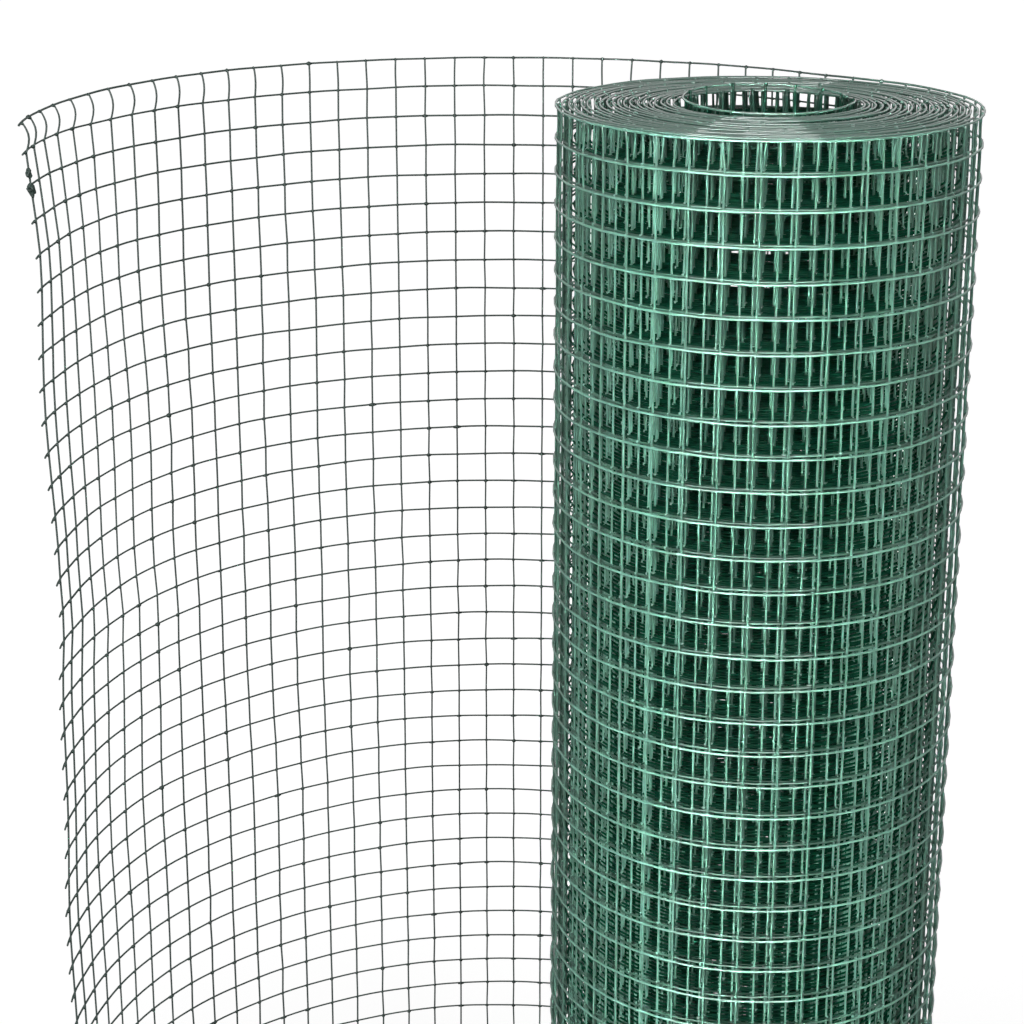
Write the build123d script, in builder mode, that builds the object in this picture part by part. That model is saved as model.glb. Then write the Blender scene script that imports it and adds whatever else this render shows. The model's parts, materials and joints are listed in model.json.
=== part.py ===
# Roll of welded wire fencing that stands on one end, with the outer end of the sheet unrolled.
# Millimetres, +Z up, origin on the roll's axis at floor level.
import os
from math import cos, degrees, radians, sin

from build123d import *

# Welded mesh
mesh_pitch = 15.875  # wire centre to wire centre, both ways
cells_high = 63
wire_size = 1.2  # over the plastic coating

# Wound turns
outer_radius = 100.0
bore_radius = 36.0
turn_count = 22
turn_ring_share = 0.68  # of the turn pitch taken up by the mesh
groove_depth = 3.0  # between two turns, on both ends
bore_rise = 3.4  # innermost turn stands this much above the outermost

# Unrolled end of the sheet
leave_angle = 55.6  # degrees round the axis where the sheet leaves the roll
straight_lead = 31.75
curl_start_radius = 281.0
curl_end_radius = 180.0  # the curl tightens evenly to the free end
free_wires = 35  # upright wires
first_panel_wires = 5
panel_wires = 6
tail_length = 5.0  # level wires past the last upright wire
seat_gap = 0.1  # between the wound turns and the sheet that leaves them

# Cutting tools run this far past what they cut
overrun = 2.0

# Sizes that follow
sheet_height = cells_high * mesh_pitch + wire_size
turn_pitch = (outer_radius - bore_radius) / (turn_count - 1 + turn_ring_share)
turn_ring = turn_ring_share * turn_pitch
hole_size = mesh_pitch - wire_size
sheet_radius = outer_radius + seat_gap + wire_size / 2
free_length = (free_wires - 1) * mesh_pitch + tail_length

os.makedirs("parts", exist_ok=True)


def turn_rise(turn):
    """Height of a turn above the outermost one, turns counted from the outside."""
    return bore_rise * turn / (turn_count - 1)


def end_line(base, depth):
    """Points across one end of the roll from the outside in: a flat ring for each turn, grooves between."""
    points = []
    for turn in range(turn_count):
        ring_out = outer_radius - turn * turn_pitch
        ring_in = ring_out - turn_ring
        level = base + turn_rise(turn)
        points.append((ring_out, level))
        points.append((ring_in, level))
        if turn < turn_count - 1:
            groove_middle = (ring_in + ring_out - turn_pitch) / 2
            points.append((groove_middle, level + depth))
    return points


# Wound turns as one turned solid with its bore
with BuildPart() as rolled_mesh:
    with BuildSketch(Plane.XZ):
        with BuildLine():
            top_line = end_line(sheet_height, -groove_depth)
            bottom_line = end_line(0, groove_depth)
            Polyline(*top_line, *reversed(bottom_line), close=True)
        make_face()
    revolve(axis=Axis.Z)
rolled_mesh.part.label = "rolled_mesh"
export_step(rolled_mesh.part, "parts/rolled_mesh.step", write_pcurves=False)

# Line of the unrolled sheet in plan: straight off the roll, then one arc for each panel
def side_of(heading):
    """Direction across the sheet, to the left of its heading."""
    return Vector(-sin(radians(heading)), cos(radians(heading)))


def curl_radius(run):
    """Radius of the curl at this run from the roll."""
    share = (run - straight_lead) / (free_length - straight_lead)
    return 1 / ((1 - share) / curl_start_radius + share / curl_end_radius)


def place_on(stretch, run, level):
    """Place on a stretch of the sheet at this run from the roll and this level, its X along the sheet."""
    start_run, end_run, start, heading, radius = stretch
    along = run - start_run
    if radius is None:
        spot = start + side_of(heading - 90) * along
        return Location((spot.X, spot.Y, level), (0, 0, heading))
    turned = heading + degrees(along / radius)
    spot = start + side_of(heading) * radius - side_of(turned) * radius
    return Location((spot.X, spot.Y, level), (0, 0, turned))


def panel_stretches(start_run, end_run, start, heading):
    """The straight and curled stretches of one panel, and where its sheet ends."""
    stretches = []
    if start_run < straight_lead:
        stretches.append((start_run, min(end_run, straight_lead), start, heading, None))
        start = place_on(stretches[-1], stretches[-1][1], 0).position
    if end_run > straight_lead:
        curl_from = max(start_run, straight_lead)
        radius = curl_radius((curl_from + end_run) / 2)
        stretches.append((curl_from, end_run, start, heading, radius))
    end = place_on(stretches[-1], end_run, 0)
    return stretches, end.position, end.orientation.Z


def sheet_panel(stretches, first_wire, last_wire):
    """One panel of the unrolled sheet: a thin wall along the plan line with its cells cut out."""
    with BuildPart() as panel:
        with BuildSketch():
            for stretch in stretches:
                start_run, end_run, start, heading, radius = stretch
                if radius is None:
                    with Locations(place_on(stretch, (start_run + end_run) / 2, 0)):
                        Rectangle(end_run - start_run, wire_size)
                else:
                    center = start + side_of(heading) * radius
                    arc_angle = degrees((end_run - start_run) / radius)
                    with BuildLine():
                        near = CenterArc(center, radius - wire_size / 2, heading - 90, arc_angle)
                        far = CenterArc(center, radius + wire_size / 2, heading - 90, arc_angle)
                        Line(near @ 0, far @ 0)
                        Line(near @ 1, far @ 1)
                    make_face()
        extrude(amount=sheet_height)
        cells = []
        for bay in range(max(first_wire - 1, 0), last_wire + 1):
            run = (bay + 1 / 2) * mesh_pitch
            stretch = stretches[0] if run <= stretches[0][1] else stretches[-1]
            for row in range(cells_high):
                cells.append(place_on(stretch, run, (wire_size + mesh_pitch) / 2 + row * mesh_pitch))
        with Locations(*cells):
            Box(hole_size, wire_size + overrun, hole_size, mode=Mode.SUBTRACT)
    return panel.part


# Panels of the unrolled sheet, each parted halfway between two upright wires
first_wire = 0
panel_number = 1
start_run = -wire_size / 2
heading = leave_angle + 90
start = side_of(leave_angle - 90) * sheet_radius + side_of(leave_angle) * start_run
while first_wire < free_wires:
    wires = first_panel_wires if first_wire == 0 else panel_wires
    last_wire = min(first_wire + wires, free_wires) - 1
    end_run = (last_wire + 1 / 2) * mesh_pitch
    if last_wire == free_wires - 1:
        end_run = free_length
    stretches, start, heading = panel_stretches(start_run, end_run, start, heading)
    unrolled_panel = sheet_panel(stretches, first_wire, last_wire)
    unrolled_panel.label = f"unrolled_panel_{panel_number}"
    export_step(unrolled_panel, f"parts/unrolled_panel_{panel_number}.step", write_pcurves=False)
    first_wire = last_wire + 1
    panel_number = panel_number + 1
    start_run = end_run
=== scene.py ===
# %% [markdown]
# # A roll of welded wire fencing
# The real thing is one sheet of mesh: level wires and upright wires, welded where they cross, dipped in
# green plastic and wound up. This lesson makes it the same way. The wires are drawn on a flat sheet first,
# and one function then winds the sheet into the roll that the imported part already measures.

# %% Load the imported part
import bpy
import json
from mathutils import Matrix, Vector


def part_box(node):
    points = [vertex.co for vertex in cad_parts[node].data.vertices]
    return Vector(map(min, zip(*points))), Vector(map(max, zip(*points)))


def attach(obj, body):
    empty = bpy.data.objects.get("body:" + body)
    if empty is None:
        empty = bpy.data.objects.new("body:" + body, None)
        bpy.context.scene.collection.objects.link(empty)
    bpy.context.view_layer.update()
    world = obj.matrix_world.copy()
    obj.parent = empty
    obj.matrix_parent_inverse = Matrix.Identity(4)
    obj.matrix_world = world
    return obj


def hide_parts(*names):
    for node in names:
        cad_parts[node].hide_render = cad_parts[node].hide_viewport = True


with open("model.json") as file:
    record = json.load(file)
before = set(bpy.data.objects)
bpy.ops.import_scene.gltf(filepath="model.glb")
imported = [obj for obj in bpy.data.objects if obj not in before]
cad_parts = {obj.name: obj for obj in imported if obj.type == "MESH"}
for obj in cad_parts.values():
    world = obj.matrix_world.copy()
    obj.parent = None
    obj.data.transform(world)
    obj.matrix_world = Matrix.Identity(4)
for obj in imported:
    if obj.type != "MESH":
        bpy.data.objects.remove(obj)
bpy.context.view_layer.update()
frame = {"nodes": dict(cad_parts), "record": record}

# %% [markdown]
# ## Measures
# The frame gives the roll's radius, its bore and the height of the sheet. The mesh has its own few sizes:
# the cell, the wire, how many turns there are and how the free end leaves the roll and curls.

# %% Measures of the mesh and of the winding
import json
import math

import bmesh
import bpy
import numpy as np
from mathutils import Matrix, Vector

MM = 0.001
roll_low, roll_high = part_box("rolled_mesh")
panel_low, panel_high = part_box("unrolled_panel_1")
mounts = {mount["name"]: mount for mount in frame["record"]["mounts"]}

wire = 1.2 * MM
cell = 15.875 * MM
sheet_height = panel_high.z - panel_low.z
row_count = round((sheet_height - wire) / cell) + 1
row_levels = panel_low.z + wire / 2 + cell * np.arange(row_count)
roll_radius = roll_high.x
bore_radius = mounts["spindle_bore"]["dims"]["r_mm"] * MM
print("rows of level wires:", row_count, "roll radius:", round(roll_radius, 4), "bore:", bore_radius)

# %% [markdown]
# ## Winding
# A turn is as thick as two wires, one on the other, and the turns lie a little looser than that. The path
# of the sheet seen from above is a spiral whose radius falls evenly with the angle, so the angle that a
# length of sheet fills comes from one square root. Past the line where it leaves the roll the sheet runs
# straight for a short way and then follows a curl that tightens evenly to the free end.

# %% The spiral
weld_bite = 0.15
upright_depth = wire * (1 - weld_bite)
turn_count = 22
turn_ring_share = 0.68
turn_pitch = (roll_radius - bore_radius) / (turn_count - 1 + turn_ring_share)
turn_rise = roll_high.z - panel_high.z
spiral_radius = roll_radius
inner_radius = bore_radius + wire / 2 + upright_depth
full_turn = 2 * math.pi
full_sweep = full_turn * (spiral_radius - inner_radius) / turn_pitch


def run_of_sweep(sweep):
    """Length of sheet, counted back from the leaving line, that fills this angle of the roll."""
    return spiral_radius * sweep - turn_pitch * sweep**2 / (2 * full_turn)


def sweep_of_run(back):
    """Angle of the roll that this length of sheet fills."""
    root = np.sqrt(spiral_radius**2 - 2 * turn_pitch * back / full_turn)
    return (spiral_radius - root) * full_turn / turn_pitch


wound_run = run_of_sweep(full_sweep)
print("turns:", round(full_sweep / full_turn, 2), "wound sheet, metres:", round(wound_run, 3))

# %% The curl of the free end in plan
leave_angle = math.radians(55.6)
straight_lead = 31.75 * MM
curl_start_radius = 281.0 * MM
curl_end_radius = 180.0 * MM
free_wires = 35
tail_length = 5.0 * MM
free_run = (free_wires - 1) * cell
curl_length = free_run + tail_length - straight_lead

plan_runs = np.linspace(0, free_run + cell, 1200)
curled = np.maximum(plan_runs - straight_lead, 0)
tightening = (1 / curl_end_radius - 1 / curl_start_radius) / curl_length
plan_heading = leave_angle + math.pi / 2 + curled / curl_start_radius + tightening * curled**2 / 2
plan_steps = np.diff(plan_runs)
leave_x = spiral_radius * math.cos(leave_angle)
leave_y = spiral_radius * math.sin(leave_angle)
plan_x = leave_x + np.append(0, np.cumsum(np.cos(plan_heading[:-1]) * plan_steps))
plan_y = leave_y + np.append(0, np.cumsum(np.sin(plan_heading[:-1]) * plan_steps))
print("free end of the sheet at", round(plan_x[-1], 3), round(plan_y[-1], 3))

# %% [markdown]
# No hand-wound roll is even. A few sine waves with seeded phases push each turn in and out and up and
# down by tenths of a millimetre, so that the ends show strands that close up in one place and part in
# another. The outermost turn stands off the roll at its sides, because the free end pulls it loose, and
# the innermost has sprung away from its neighbour.


# %% Unevenness and the winding itself
def waves(seed, count, *axes):
    """Smooth seeded waves between about -1 and 1. Each axis is a pair: the values and their wave length."""
    rng = np.random.default_rng(seed)
    total = 0
    for _ in range(count):
        phase = rng.uniform(0, full_turn)
        for values, length in axes:
            phase = phase + values * (rng.uniform(-1, 1) * full_turn / length)
        total = total + np.sin(phase)
    return total / math.sqrt(count)


def ease(value, start, end):
    """From 0 at the start to 1 at the end, without a corner."""
    share = np.clip((value - start) / (end - start), 0, 1)
    return share * share * (3 - 2 * share)


turn_wander = 0.42 * MM
turn_bob = 0.34 * MM
inner_squeeze = 1.9 * MM
back_sag = 1.5 * MM
last_turn = full_sweep - full_turn


def turn_radius(sweep):
    """Radius of the level wires' line after this angle of winding."""
    angle = leave_angle - sweep
    even = spiral_radius - turn_pitch * sweep / full_turn
    stand_off = turn_pitch * sweep / full_turn * (0.1 + 0.3 * np.maximum(np.cos(angle), 0) ** 2)
    stand_off = stand_off * (1 - ease(sweep, full_turn - 1.1, full_turn))
    squeeze = inner_squeeze * (sweep / last_turn) ** 3 * (1 - ease(sweep, last_turn - 0.6, last_turn + 0.5))
    wander = turn_wander * waves(11, 6, (sweep, 1.9)) * ease(sweep, 0.8 * full_turn, 1.2 * full_turn)
    return even + stand_off + squeeze + wander


def wind(flat):
    """Take points of the flat sheet, as run, depth inwards and height, to their place in the roll."""
    run, depth, height = flat[..., 0], flat[..., 1], flat[..., 2]
    sweep = sweep_of_run(np.maximum(-run, 0))
    radius = turn_radius(sweep) - depth
    angle = leave_angle - sweep
    heading = np.interp(run, plan_runs, plan_heading)
    free_x = np.interp(run, plan_runs, plan_x) - depth * np.sin(heading)
    free_y = np.interp(run, plan_runs, plan_y) + depth * np.cos(heading)
    x = np.where(run < 0, radius * np.cos(angle), free_x)
    y = np.where(run < 0, radius * np.sin(angle), free_y)
    bob = turn_bob * waves(12, 6, (sweep, 2.7)) * ease(sweep, 0, full_turn)
    sag = back_sag * ease(y, -0.02, 0.1) * ease(sweep, 0.15 * full_turn, 0.5 * full_turn)
    spring = ease(sweep, last_turn - 0.5, last_turn + 0.5)
    rise = turn_rise * (0.3 * sweep / full_sweep + (0.5 + 0.35 * ease(y, -0.03, 0.03)) * spring)
    return np.stack([x, y, height + rise + bob - sag * (1 - spring)], axis=-1)


print("the sheet leaves the roll at", np.round(wind(np.zeros(3)), 3))

# %% [markdown]
# ## How the sheet departs from flat
# The mesh was pulled off the roll by hand. Broad waves push the free end in and out and its welds sit a
# little off. Along the top edge the uprights bow inwards and the edge wire sinks. The last uprights lean
# out at the top and at the bottom, and one dent runs through them.


# %% Bends of the sheet
lean_rows = np.array([0, 1.6, 4, 8, 13, 17, 20, 25, 30, 63])
lean_out = np.array([2.4, 1.3, -0.9, -0.8, -1.5, -1.0, 0.3, 2.6, 3.2, 3.2]) * MM


def bend(flat):
    """Give flat points the bends of the real sheet."""
    run, depth, height = flat[..., 0], flat[..., 1], flat[..., 2]
    place = run / cell
    row = (row_levels[-1] - height) / cell
    free = ease(place, -2, 4)
    broad = 0.7 * MM * waves(21, 5, (run, 0.11), (height, 0.13)) * free
    kink_along = 0.17 * MM * waves(22, 5, (run, 0.028), (height, 0.026)) * (0.5 + 0.5 * free)
    kink_up = 0.17 * MM * waves(23, 5, (run, 0.024), (height, 0.028))
    kink_in = 0.13 * MM * waves(25, 6, (run, 0.021), (height, 0.04)) * (1 - free)
    drop = np.clip(row, 0, 1)
    bow = np.sin(math.pi * drop**0.85) * (0.35 + 1.9 * ease(place, 18, 28)) * MM
    sink = (1 - drop) * (0.9 + 1.8 * ease(place, 25, 34)) * MM
    side_lean = 1.3 * MM * waves(24, 4, (run, 0.045)) * (1 - drop) * (1 - free)
    end_lean = np.interp(row, lean_rows, lean_out) * ease(place, 22, 34)
    flick = 1.2 * MM * ease(place, 26, 31) * (1 - ease(place, 32.3, 34)) * ease(row, 0, 2)
    dent = 1.3 * MM * np.exp(-(((row - 17 + (place - 28) * 0.25) / 1.1) ** 2)) * ease(place, 21, 27)
    out = np.empty_like(flat)
    out[..., 0] = run + kink_along + side_lean
    out[..., 1] = depth + broad + kink_in + bow - end_lean + flick + dent
    out[..., 2] = height + kink_up - sink
    return out


top_corner = np.array([free_run, 0, row_levels[-1]])
print("top corner of the sheet bent by, metres:", np.round(bend(top_corner) - top_corner, 4))

# %% [markdown]
# ## One wire, many places
# Hundreds of wires share one shape: a tube with a few sides, cut into rings. A cylinder with its long edges
# subdivided gives that tube. Its points remember their ring and their side, so a copy is placed by saying
# where each ring goes. The copies are joined in one mesh, because thousands of objects would be slow.


# %% A tube to copy, and the joined mesh
def wire_tube(sides, rings):
    """A tube of radius 1 as arrays: the ring of each point, its two side offsets, and the faces."""
    bm = bmesh.new()
    bmesh.ops.create_cone(bm, cap_ends=True, segments=sides, radius1=1, radius2=1, depth=1)
    long_edges = [edge for edge in bm.edges if abs(edge.verts[0].co.z - edge.verts[1].co.z) > 0.5]
    bmesh.ops.subdivide_edges(bm, edges=long_edges, cuts=rings - 2, use_grid_fill=True)
    bm.verts.index_update()
    points = np.array([vert.co for vert in bm.verts])
    faces = [[vert.index for vert in face.verts] for face in bm.faces]
    bm.free()
    ring = np.rint((points[:, 2] + 0.5) * (rings - 1)).astype(int)
    return ring, points[:, :2], faces


no_gloom = (0, 0, 1)
# Painted shade: the last three turns round the bore are coloured this much darker.
bore_gloom = 0.8


def joined_piece(name, parts, gloom=no_gloom, sheen_and_dark=0):
    """One object from lists of flat copies: points of shape (copies, points, 3) and one copy's faces.

    The points are bent and wound. Each keeps three values for the coating: how much painted shade, with a
    dull coat, it gets deep in the roll, by the gloom's amount and the turns where it starts and ends;
    whether it lies on the loose end; and its share of painted sheen and glint, pale on the roll and darker
    on the loose end.
    """
    flat = np.concatenate([copies.reshape(-1, 3) for copies, _ in parts])
    corners, sizes, first = [], [], 0
    for copies, faces in parts:
        number, count = copies.shape[:2]
        one = np.concatenate([np.array(face) for face in faces])
        shift = first + count * np.arange(number)
        corners.append((shift[:, None] + one[None, :]).ravel())
        sizes.append(np.tile([len(face) for face in faces], number))
        first += number * count
    corners, sizes = np.concatenate(corners), np.concatenate(sizes)
    mesh = bpy.data.meshes.new(name)
    mesh.vertices.add(len(flat))
    mesh.loops.add(len(corners))
    mesh.polygons.add(len(sizes))
    mesh.vertices.foreach_set("co", wind(bend(flat)).astype(np.float32).ravel())
    mesh.loops.foreach_set("vertex_index", corners.astype(np.int32))
    mesh.polygons.foreach_set("loop_start", (np.cumsum(sizes) - sizes).astype(np.int32))
    mesh.update(calc_edges=True)
    mesh.polygons.foreach_set("use_smooth", np.ones(len(sizes), dtype=bool))
    sweep = sweep_of_run(np.clip(-flat[:, 0], 0, wound_run))
    # Painted shade: the coat darkens from the gloom's shallow turn to its deep one, and round the bore.
    amount, shallow, deep = gloom
    bore = ease(sweep, last_turn - 3, last_turn) * (amount > 0)
    dark = amount * ease(sweep / full_turn, shallow, deep) * (1 - bore) + bore_gloom * bore
    loose = ease(flat[:, 0], 0, 2 * cell)
    # Share of painted sheen and glint, pale on the roll; on the loose end it darkens the colour instead.
    sheen_and_dark_values = np.full(len(flat), sheen_and_dark)
    for label, values in (("painted_shade_and_dull", dark), ("loose", loose), ("sheen_and_dark", sheen_and_dark_values)):
        layer = mesh.attributes.new(label, "FLOAT", "POINT")
        layer.data.foreach_set("value", values.astype(np.float32))
    piece = bpy.data.objects.new(name, mesh)
    bpy.context.scene.collection.objects.link(piece)
    print(name, "triangles:", int((sizes - 2).sum()))
    return piece


# %% [markdown]
# ## The coating
# The wire is steel in a thick green plastic coat: glossy, a little darker and lighter from place to place,
# with the faint ripple that dipping leaves. The loose end is coloured greyer. The beads, the lumps and the
# outer level wires carry a painted sheen and glint, pale on the roll, and are darker on the loose end. Deep
# in the roll hundreds of glossy wires would mirror the room as a grey haze, so a dull coat is mixed in
# there, and its dark colour is painted shade, darkest round the bore. The three values that each point
# keeps steer all this.


# %% Shader maths as expressions
class Shade:
    """A socket whose operators add Math nodes, and whose node method adds any other node."""

    def __init__(self, tree, socket=None):
        self.tree, self.socket = tree, socket

    def node(self, kind, out=0, settings=None, **inputs):
        made = self.tree.nodes.new(kind)
        for key, value in (settings or {}).items():
            setattr(made, key, value)
        for key, value in inputs.items():
            numbered = key[0] == "i" and key[1:].isdigit()
            socket = made.inputs[int(key[1:]) if numbered else key.replace("_", " ")]
            if isinstance(value, Shade):
                self.tree.links.new(value.socket, socket)
            else:
                socket.default_value = value
        return Shade(self.tree, made.outputs[out])

    def math(self, operation, first, second):
        return self.node("ShaderNodeMath", settings={"operation": operation}, i0=first, i1=second)

    def __add__(self, other):
        return self.math("ADD", self, other)

    def __sub__(self, other):
        return self.math("SUBTRACT", self, other)

    def __rsub__(self, other):
        return self.math("SUBTRACT", other, self)

    def __mul__(self, other):
        return self.math("MULTIPLY", self, other)

    __radd__ = __add__
    __rmul__ = __mul__

    def mix(self, dark, light):
        """A colour between two others, by this value."""
        settings = {"data_type": "RGBA"}
        return self.node("ShaderNodeMix", 2, settings, Factor=self, i6=dark, i7=light)


# %% The green plastic coat
def green_coating():
    material = bpy.data.materials.new("green_coating")
    material.use_nodes = True
    tree = material.node_tree
    tree.nodes.clear()
    here = Shade(tree).node("ShaderNodeTexCoord", 3)
    patches = Shade(tree).node("ShaderNodeTexNoise", 0, Vector=here, Scale=38.0, Detail=3.0)
    grain = Shade(tree).node("ShaderNodeTexNoise", 0, Vector=here, Scale=900.0, Detail=2.0)
    dark_green = (0.046, 0.180, 0.122, 1)
    light_green = (0.150, 0.335, 0.258, 1)
    fresh = patches.mix(dark_green, light_green)
    painted_shade_and_dull, loose, sheen_and_dark = (
        Shade(tree).node("ShaderNodeAttribute", 2, {"attribute_name": label})
        for label in ("painted_shade_and_dull", "loose", "sheen_and_dark")
    )
    # Painted sheen and glint: the beads and outer level wires are coloured pale on the roll.
    painted_sheen_green = (0.220, 0.560, 0.420, 1)
    # On the loose end the coat is coloured greyer, and its beads, lumps and outer level wires darker.
    loose_grey = (0.180, 0.242, 0.222, 1)
    loose_bead_dark = (0.050, 0.075, 0.067, 1)
    # Painted shade: a dark green mixed in deep in the roll, along with a dull coat.
    painted_shade_green = (0.006, 0.098, 0.052, 1)
    sheen_share, loose_share = 0.75, 0.9
    wound = (sheen_and_dark * sheen_share).mix(fresh, painted_sheen_green)
    loose_greyed = (loose * loose_share).mix(wound, sheen_and_dark.mix(loose_grey, loose_bead_dark))
    shaded = painted_shade_and_dull.mix(loose_greyed, painted_shade_green)
    bump = Shade(tree).node("ShaderNodeBump", Height=grain, Strength=0.12, Distance=0.05 * MM)
    glossy = Shade(tree).node(
        "ShaderNodeBsdfPrincipled", Base_Color=shaded, Roughness=0.32 + 0.2 * patches + 0.2 * loose,
        Normal=bump, IOR=1.5, Specular_IOR_Level=0.5, Coat_Weight=1 - loose, Coat_Roughness=0.07,
        Coat_IOR=2.0,
    )
    dull = Shade(tree).node(
        "ShaderNodeBsdfPrincipled", Base_Color=shaded, Roughness=1.0, Normal=bump, Specular_IOR_Level=0.0
    )
    surface = Shade(tree).node("ShaderNodeMixShader", i0=painted_shade_and_dull, i1=glossy, i2=dull)
    output = tree.nodes.new("ShaderNodeOutputMaterial")
    tree.links.new(surface.socket, output.inputs["Surface"])
    return material


coating = green_coating()
print("material:", coating.name)

# %% [markdown]
# ## The level wires
# Each level wire runs the whole length of the sheet. Near the eye, in the outer turn and the free end, it
# has six sides and close rings. Inside the roll four sides are enough, and the top and bottom rows keep six
# because they draw the spiral on the roll's ends. The outer level wires carry a painted sheen, pale on the
# roll, and are darker on the loose end. The inner ones carry painted shade.

# %% Level wires
outer_turns = 1.2
outer_sweep = full_turn * outer_turns


def half_wire(run):
    """Radius of the wire, which is slimmer on the loose end, where the coat is stretched and worn."""
    return wire / 2 * (1 - 0.17 * ease(run, 0, 3 * cell))


def lay_level_wires(levels, runs, sides):
    """Flat level wires at these heights, with a ring at each run."""
    ring, offset, faces = wire_tube(sides, len(runs))
    flat = np.empty((len(levels), len(ring), 3))
    flat[..., 0] = runs[ring]
    flat[..., 1] = half_wire(runs[ring]) * offset[:, 0]
    flat[..., 2] = levels[:, None] + half_wire(runs[ring]) * offset[:, 1]
    return flat, faces


def roll_runs(start, end, steps_per_turn):
    """Runs for rings at even angles of the roll, the innermost first."""
    count = max(2, round((end - start) / full_turn * steps_per_turn) + 1)
    return -run_of_sweep(np.linspace(end, start, count))


# %% Level wires, wound
free_steps = np.append(np.arange(1, 2 * free_wires - 1) * cell / 2, free_run + tail_length)
outer_runs = np.append(roll_runs(0, outer_sweep, 60), free_steps)
inner_runs = roll_runs(outer_sweep, full_sweep, 36)
end_runs = roll_runs(outer_sweep, full_sweep, 56)
level_parts = {"level_wires_outer": [lay_level_wires(row_levels, outer_runs, 6)]}
band_count = 3
for band in range(band_count):
    levels = np.array_split(row_levels[1:-1], band_count)[band]
    level_parts[f"level_wires_inner_{band + 1}"] = [lay_level_wires(levels, inner_runs, 4)]
level_parts["level_wires_ends"] = [lay_level_wires(row_levels[[0, -1]], end_runs, 6)]

pieces = []
# Painted sheen: the outer level wires are coloured pale on the roll, and darker on the loose end.
outer_sheen_paint = 0.6
# Painted shade on the inner level wires, from half a turn to three turns in.
level_gloom = (0.97, 0.5, 3.0)
for name, parts in level_parts.items():
    gloom = level_gloom if "inner" in name else no_gloom
    sheen_for_piece = outer_sheen_paint if "outer" in name else 0
    pieces.append(joined_piece(name, parts, gloom, sheen_for_piece))

# %% [markdown]
# ## The upright wires
# They lie on the inner side of the level wires, one cell apart along the sheet, and bite a little into them
# at the welds. Those near the eye have a ring at every weld and more in the top row.


# %% Upright wires
def lay_upright_wires(runs, levels, sides):
    """Flat upright wires at these runs, with a ring at each level."""
    ring, offset, faces = wire_tube(sides, len(levels))
    flat = np.empty((len(runs), len(ring), 3))
    flat[..., 0] = runs[:, None] + half_wire(runs)[:, None] * offset[:, 0]
    flat[..., 1] = upright_depth + half_wire(runs)[:, None] * offset[:, 1]
    flat[..., 2] = levels[ring]
    return flat, faces


near_count = free_wires + round(run_of_sweep(outer_sweep) / cell)
far_count = math.floor((wound_run - run_of_sweep(outer_sweep)) / cell)
outer_uprights = free_run - cell * np.arange(near_count)
inner_uprights = outer_uprights[-1] - cell * (1 + np.arange(far_count))
top_steps = np.linspace(row_levels[-2], row_levels[-1], 7)
base, top = panel_low.z, panel_high.z
near_levels = np.concatenate([[base], row_levels[:-2] + wire, top_steps[:-1], [top]])
far_levels = np.concatenate([[base], top_steps[:-1], [top]])
near_uprights = lay_upright_wires(outer_uprights, near_levels, 6)
far_uprights = lay_upright_wires(inner_uprights, far_levels, 5)
# Painted shade on the uprights, from the third turn to the tenth.
upright_gloom = (0.3, 3, 10)
pieces.append(joined_piece("upright_wires", [near_uprights, far_uprights], upright_gloom))

# %% [markdown]
# ## The welds
# Where two wires are welded the coat gathers in a small bead. Beads on the free end are coloured as dark
# knots, and those on the turns carry a painted glint, pale. A low ball serves near the eye, and one of
# eight sides deeper in. Past the twelfth turn the mesh in front hides all but the top rows, so only they
# have beads, and these carry painted shade.


# %% Weld beads
def ball(rings):
    """A round bead of radius 1 as arrays, its points and its faces. With no rings it has eight sides."""
    bm = bmesh.new()
    if rings:
        bmesh.ops.create_icosphere(bm, subdivisions=rings, radius=1)
    else:
        bmesh.ops.create_uvsphere(bm, u_segments=4, v_segments=2, radius=1.2)
        bmesh.ops.rotate(bm, verts=bm.verts, matrix=Matrix.Rotation(math.pi / 4, 3, "Y"))
    bm.verts.index_update()
    points = np.array([vert.co for vert in bm.verts])
    faces = [[vert.index for vert in face.verts] for face in bm.faces]
    bm.free()
    return points, faces


def lay_beads(runs, levels, radii, depth, stretch, rings):
    """Flat beads at these places, each with its own radius, drawn out along the sheet."""
    points, faces = ball(rings)
    flat = np.empty((len(runs), len(points), 3))
    flat[..., 0] = runs[:, None] + (radii * stretch)[:, None] * points[:, 0]
    flat[..., 1] = depth + radii[:, None] * points[:, 1]
    flat[..., 2] = levels[:, None] + radii[:, None] * points[:, 2]
    return flat, faces


def bead_piece(name, runs, levels, size, seed, rings=1, gloom=no_gloom):
    """Beads on every crossing of these uprights and level wires, some drawn out in a dash of coating."""
    rng = np.random.default_rng(seed)
    cross_runs, cross_levels = (axis.ravel() for axis in np.meshgrid(runs, levels, indexing="ij"))
    radii = wire * size * np.clip(rng.normal(1, 0.14, len(cross_runs)), 0.75, 1.4)
    stretch = rng.uniform(0.9, 1.4, len(cross_runs))
    dashes = rng.random(len(cross_runs)) < 0.2
    stretch[dashes] = stretch[dashes] * 2
    radii[dashes] = radii[dashes] * 0.85
    beads = lay_beads(cross_runs, cross_levels, radii, upright_depth / 2, stretch, rings)
    return joined_piece(name, [beads], gloom, sheen_and_dark=1)


wound_runs = -cell * (1 + np.arange(math.floor(wound_run / cell)))
near_wires, deep_wires = (round(run_of_sweep(full_turn * turns) / cell) for turns in (2.5, 12))
free_runs = free_run - cell * np.arange(free_wires)
near_runs, deep_runs, last_runs = np.split(wound_runs, [near_wires, deep_wires])
pieces.append(bead_piece("weld_beads_free", free_runs, row_levels, 0.82, 31))
pieces.append(bead_piece("weld_beads_roll", near_runs, row_levels, 0.66, 32))
pieces.append(bead_piece("weld_beads_deep", deep_runs, row_levels, 0.7, 33, 0))
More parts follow.
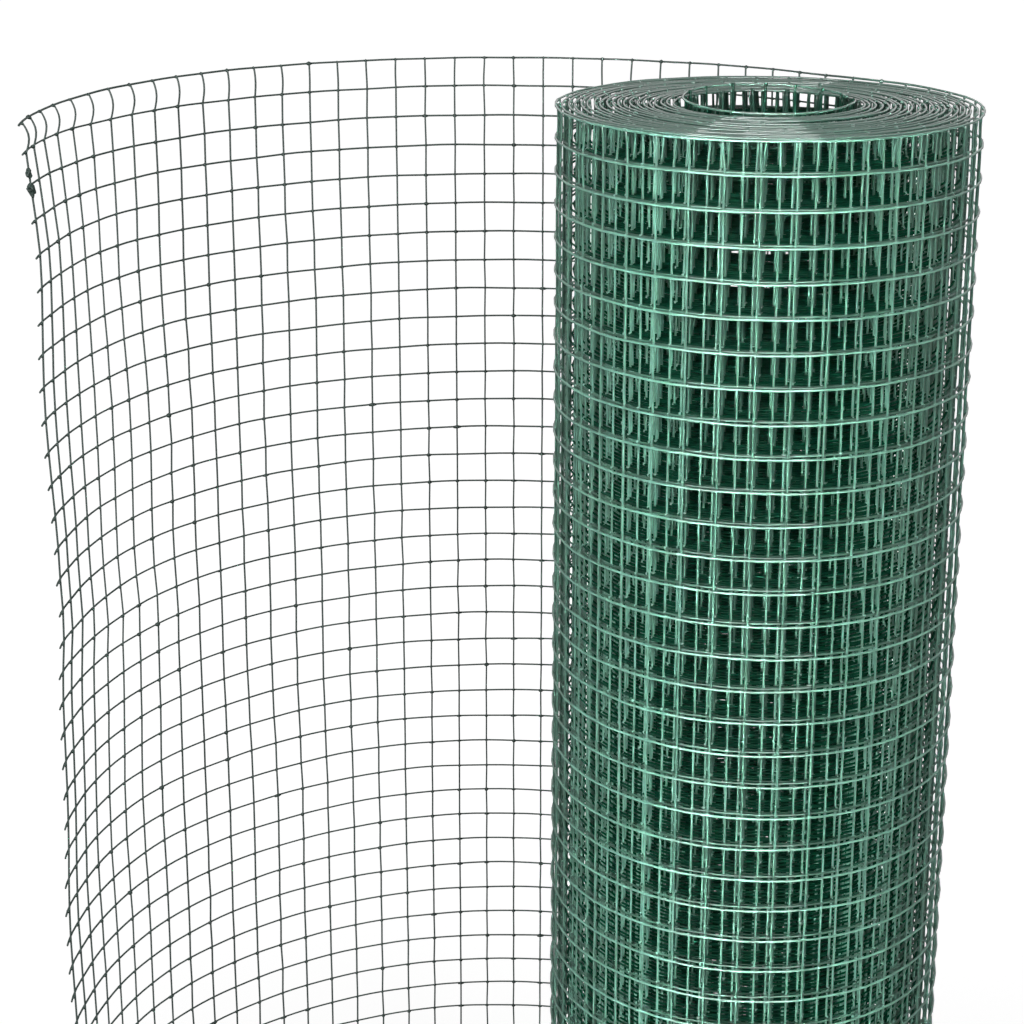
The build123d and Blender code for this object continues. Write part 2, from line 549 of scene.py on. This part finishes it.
# Painted shade on the beads past the twelfth turn.
last_gloom = (0.5, 12, 20)
pieces.append(bead_piece("weld_beads_inner", last_runs, row_levels[-4:], 0.7, 34, 0, last_gloom))

# %% [markdown]
# Two lumps of coating hang on the last upright by its third level wire, where the sheet was cut.


# %% Coating lumps
def coating_lumps():
    points, faces = ball(3)
    parts = []
    for row, along, size, tall, seed in ((1.60, 1.0, 1.9, 1.4, 41), (2.08, 0.2, 2.1, 1.4, 42)):
        rough = 1 + 0.3 * waves(seed, 7, (points[:, 0], 1.1), (points[:, 1], 1.1), (points[:, 2], 1.1))
        lump = points * rough[:, None] * size * MM
        flat = np.empty((1, len(points), 3))
        flat[0, :, 0] = free_run + along * MM + lump[:, 0]
        flat[0, :, 1] = upright_depth + lump[:, 1] * 0.8
        flat[0, :, 2] = row_levels[-1] - row * cell + lump[:, 2] * tall
        parts.append((flat, faces))
    return joined_piece("coating_lumps", parts, sheen_and_dark=1)


pieces.append(coating_lumps())

# %% [markdown]
# ## Pieces and frame
# Every piece rides on the one body of the part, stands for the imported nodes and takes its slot.

# %% Tie the pieces to the part
panel_nodes = sorted(name for name in frame["nodes"] if name.startswith("unrolled_panel"))
for piece in pieces:
    piece.data.materials.append(coating)
    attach(piece, "root")
    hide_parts("rolled_mesh", *panel_nodes)
print("pieces:", len(pieces))

# %% [markdown]
# ## Studio
# A pale floor and a white room. Straight from the eye both are white, the floor a little greyer round the
# roll. In the gloss of the wires the ceiling shows half as bright, which gives the level wires a sheen all
# round, and the rest shows dim, so that the upright wires, which mirror the floor, stay green.


# %% Floor and room
def seen_white(tree, share):
    """1 for rays straight from the eye, and this share for rays that a surface mirrors or lets through."""
    rays = tree.nodes.new("ShaderNodeLightPath")
    kinds = ("Is Camera Ray", "Is Glossy Ray", "Is Transmission Ray")
    straight, mirrored, passed = (Shade(tree, rays.outputs[kind]) for kind in kinds)
    return straight + (mirrored + passed) * share


def pale_floor():
    material = bpy.data.materials.new("pale_floor")
    material.use_nodes = True
    tree = material.node_tree
    tree.nodes.clear()
    matte = Shade(tree).node("ShaderNodeBsdfDiffuse", Color=(0.35, 0.35, 0.35, 1))
    here = Shade(tree).node("ShaderNodeTexCoord", 3)
    reach = Shade(tree).node("ShaderNodeVectorMath", 1, {"operation": "LENGTH"}, i0=here)
    far = Shade(tree).node("ShaderNodeMapRange", 0, Value=reach, From_Min=0.4, From_Max=1.4, To_Min=0.85)
    glow = Shade(tree).node("ShaderNodeEmission", Color=(1, 1, 1, 1), Strength=far * seen_white(tree, 0.12))
    both = Shade(tree).node("ShaderNodeAddShader", i0=matte, i1=glow)
    output = tree.nodes.new("ShaderNodeOutputMaterial")
    tree.links.new(both.socket, output.inputs["Surface"])
    return material


floor_mesh = bpy.data.meshes.new("floor")
bm = bmesh.new()
bmesh.ops.create_grid(bm, x_segments=1, y_segments=1, size=20)
bm.to_mesh(floor_mesh)
bm.free()
floor_mesh.materials.append(pale_floor())
floor = bpy.data.objects.new("floor", floor_mesh)
bpy.context.scene.collection.objects.link(floor)

world = bpy.data.worlds.new("white_room")
bpy.context.scene.world = world
world.use_nodes = True
tree = world.node_tree
room_light = 0.06
way = Shade(tree).node("ShaderNodeTexCoord", 0)
climb = Shade(tree).node("ShaderNodeSeparateXYZ", 2, Vector=way)
ceiling = Shade(tree).node(
    "ShaderNodeMapRange", 0, Value=climb, From_Min=0.05, From_Max=0.4, To_Min=0.12, To_Max=0.5
)
strength = room_light + (1 - room_light) * seen_white(tree, ceiling)
tree.links.new(strength.socket, tree.nodes["Background"].inputs["Strength"])
tree.nodes["Background"].inputs["Color"].default_value = (1, 1, 1, 1)
print("stage:", floor.name, "and", world.name)

# %% [markdown]
# ## Camera and lamps
# The camera was fitted to the rows and the uprights of the photo. A narrow beam from the eye's side lights
# the middle of the roll and leaves its sides darker. Two small softboxes stand where the photo's glints ask
# for them: a level wire shines where the middle direction between eye and lamp points along its radius. A
# wide card shows only as a reflection, the pale line along each level wire, and a lamp behind silvers the
# roll's upper end.

# %% Camera
camera_data = bpy.data.cameras.new("camera")
camera = bpy.data.objects.new("camera", camera_data)
camera_data.sensor_width = 36
camera_data.lens = 80.35
camera_data.shift_y = -0.1136
camera.location = (0, -67.172 * cell, row_levels[-1] + 10.524 * cell)
camera.rotation_euler = (math.radians(90 - 16.256), 0, math.radians(6.386))
bpy.context.scene.collection.objects.link(camera)
bpy.context.scene.camera = camera
print("lens, millimetres:", camera_data.lens)


# %% Lamps
roll_front = Vector((0, 0, 0.85))


def soft_lamp(name, bearing, climb, distance, size, power):
    """A lamp that looks at the roll's upper front, placed by its bearing from the camera's side."""
    data = bpy.data.lights.new(name, "AREA")
    data.shape = "RECTANGLE"
    data.size, data.size_y, data.energy = size[0], size[1], power
    lamp = bpy.data.objects.new(name, data)
    side, up = math.radians(bearing), math.radians(climb)
    away = Vector((math.sin(side) * math.cos(up), -math.cos(side) * math.cos(up), math.sin(up)))
    lamp.location = roll_front + away * distance
    lamp.rotation_euler = away.to_track_quat("Z", "Y").to_euler()
    bpy.context.scene.collection.objects.link(lamp)
    return lamp


for name, bearing in (("left_softbox", -41), ("right_softbox", 26)):
    soft_lamp(name, bearing, climb=24, distance=2.0, size=(0.24, 0.5), power=8)
beam = soft_lamp("front_beam", bearing=-5, climb=0, distance=1.6, size=(0.12, 1.0), power=1.25)
beam.data.spread = math.radians(7)
beam.visible_glossy = False
front_card = soft_lamp("front_card", bearing=-7, climb=25, distance=2.0, size=(2.0, 0.6), power=55)
front_card.visible_diffuse = False
soft_lamp("back_lamp", bearing=180, climb=18, distance=2.8, size=(3.4, 1.2), power=6)

bpy.context.scene.view_settings.view_transform = "Standard"
